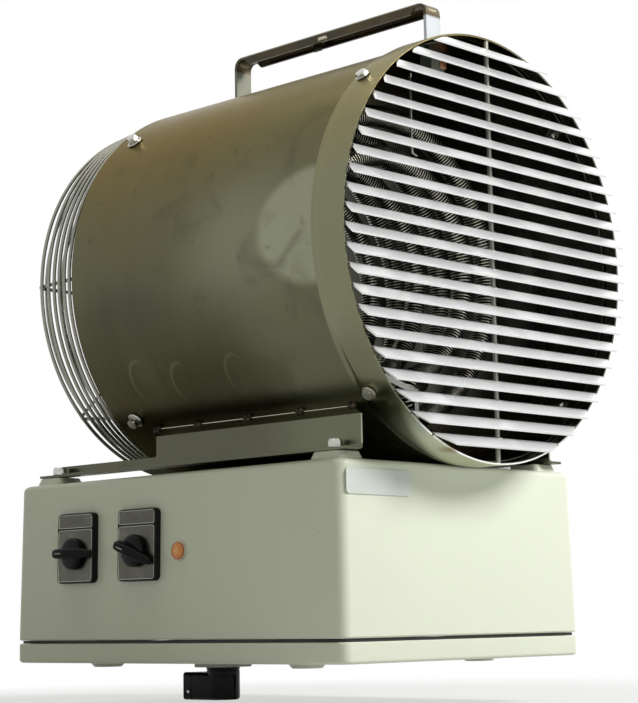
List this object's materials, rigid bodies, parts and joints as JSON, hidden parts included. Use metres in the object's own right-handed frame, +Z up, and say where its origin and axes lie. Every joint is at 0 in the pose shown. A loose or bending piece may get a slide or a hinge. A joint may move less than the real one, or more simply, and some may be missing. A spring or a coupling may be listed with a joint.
{
  "type": "forced air heater",
  "caption": "Portable fan heater: round stainless drum with louvred outlet, basket intake guard and strap handle, on a painted control box with two rotary switches",
  "frame": {"origin": "middle of the plane that the four foot pads stand on", "axes": "+Z up, hot air leaves towards -Y, the switch face looks to -X, the drum's axis lies along Y"},
  "size_m": [0.35, 0.4399, 0.582],
  "materials": {
    "amber_lens": "clear amber",
    "black_plastic": "moulded",
    "black_rubber": "matte",
    "bright_steel": "plated",
    "cutout_body": "moulded",
    "element_sheath": "heat tinted",
    "enclosure_paint": "satin powder coat",
    "grey_plastic": "moulded",
    "impeller_aluminium": "pressed",
    "insulating_board": "mineral board",
    "legend_plate": "anodised",
    "louvre_steel": "bright stainless",
    "motor_paint": "satin",
    "rail_steel": "pickled stainless",
    "stainless_sheet": "rolled stainless",
    "strip_steel": "bright",
    "white_plate": "gloss white"
  },
  "bodies": {
    "body": {"barrel_casing": "stainless_sheet", "carry_handle": "stainless_sheet", "collar_bolt_1": "bright_steel", "collar_bolt_2": "bright_steel", "collar_bolt_3": "bright_steel", "collar_bolt_4": "bright_steel", "contact_block_1": "grey_plastic", "contact_block_2": "grey_plastic", "contactor": "black_plastic", "cradle_left": "rail_steel", "cradle_right": "rail_steel", "cutout_probe": "strip_steel", "element_carrier": "insulating_board", "element_stay": "strip_steel", "enclosure_body": "enclosure_paint", "enclosure_gasket": "black_rubber", "enclosure_lid": "enclosure_paint", "fan_motor": "motor_paint", "foot_1": "enclosure_paint", "foot_2": "enclosure_paint", "foot_3": "enclosure_paint", "foot_4": "enclosure_paint", "gear_rail": "rail_steel", "guard_bolt_1": "bright_steel", "guard_bolt_2": "bright_steel", "guard_bolt_3": "bright_steel", "guard_bolt_4": "bright_steel", "heating_element_1": "element_sheath", "heating_element_2": "element_sheath", "heating_element_3": "element_sheath", "inlet_housing": "black_plastic", "inlet_insert": "grey_plastic", "label_plate": "white_plate", "lamp_holder": "bright_steel", "lamp_lens": "amber_lens", "lid_screw_1": "bright_steel", "lid_screw_2": "bright_steel", "lid_screw_3": "bright_steel", "lid_screw_4": "bright_steel", "louvre_grille": "louvre_steel", "lug_bolt_1": "bright_steel", "lug_bolt_2": "bright_steel", "lug_bolt_3": "bright_steel", "lug_bolt_4": "bright_steel", "motor_plate": "rail_steel", "outlet_collar": "stainless_sheet", "rear_guard": "rail_steel", "switch_bezel_1": "black_plastic", "switch_bezel_2": "black_plastic", "switch_plate_1": "legend_plate", "switch_plate_2": "legend_plate", "terminal_block": "grey_plastic", "thermal_cutout": "cutout_body"},
    "fan": {"motor_shaft": "bright_steel", "fan_impeller": "impeller_aluminium", "shaft_nut": "bright_steel"},
    "knob_one": {"switch_knob_1": "black_plastic"},
    "knob_two": {"switch_knob_2": "black_plastic"}
  },
  "joints": [
    {"name": "fan_spin", "type": "hinge", "parent": "body", "child": "fan", "pos_m": [0, 0.056, 0.3317], "axis": [0, 1, 0], "continuous": true},
    {"name": "heat_switch_turn", "type": "hinge", "parent": "body", "child": "knob_one", "pos_m": [-0.14573, 0.1102, 0.09629], "axis": [-0.9998, 0, 0.0175], "range_deg": [-90, 0]},
    {"name": "fan_switch_turn", "type": "hinge", "parent": "body", "child": "knob_two", "pos_m": [-0.14573, 0.0302, 0.09629], "axis": [-0.9998, 0, 0.0175], "range_deg": [-110, 0]}
  ]
}
